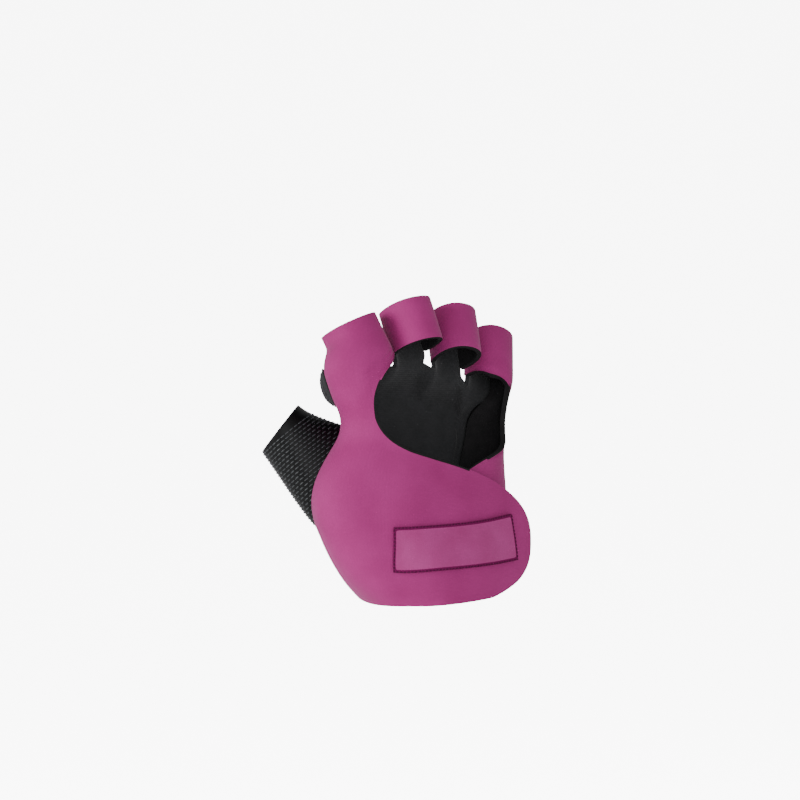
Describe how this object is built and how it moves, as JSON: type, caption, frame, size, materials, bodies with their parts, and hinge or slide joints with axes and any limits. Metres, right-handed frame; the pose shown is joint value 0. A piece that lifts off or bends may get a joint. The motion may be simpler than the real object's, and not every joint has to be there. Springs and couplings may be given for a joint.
{
  "type": "fingerless neoprene glove",
  "caption": "Open-backed fingerless neoprene glove for the right hand, with finger loops, thumb sleeve, padded palm and wrap-over wrist strap.",
  "frame": {"origin": "centre of the wrist opening, where the wrist goes in", "axes": "+Z from the wrist to the fingers, -Y the way the back of the hand faces, -X the thumb side"},
  "size_m": [0.1104, 0.0596, 0.1258],
  "materials": {
    "jersey": "magenta knitted jersey on black foam rubber",
    "palm_cloth": "matt black palm cloth",
    "pad_cloth": "matt black padded cloth",
    "thumb_cloth": "black cloth embossed with short raised dashes",
    "patch_cloth": "magenta patch, lighter than the strap, bare"
  },
  "bodies": {
    "root": {"back_panel": "jersey", "middle_loop": "jersey", "ring_loop": "jersey", "little_panel": "jersey", "palm_panel": "palm_cloth", "palm_pad": "pad_cloth", "thumb_sleeve": "thumb_cloth", "label_patch": "patch_cloth"}
  },
  "joints": []
}
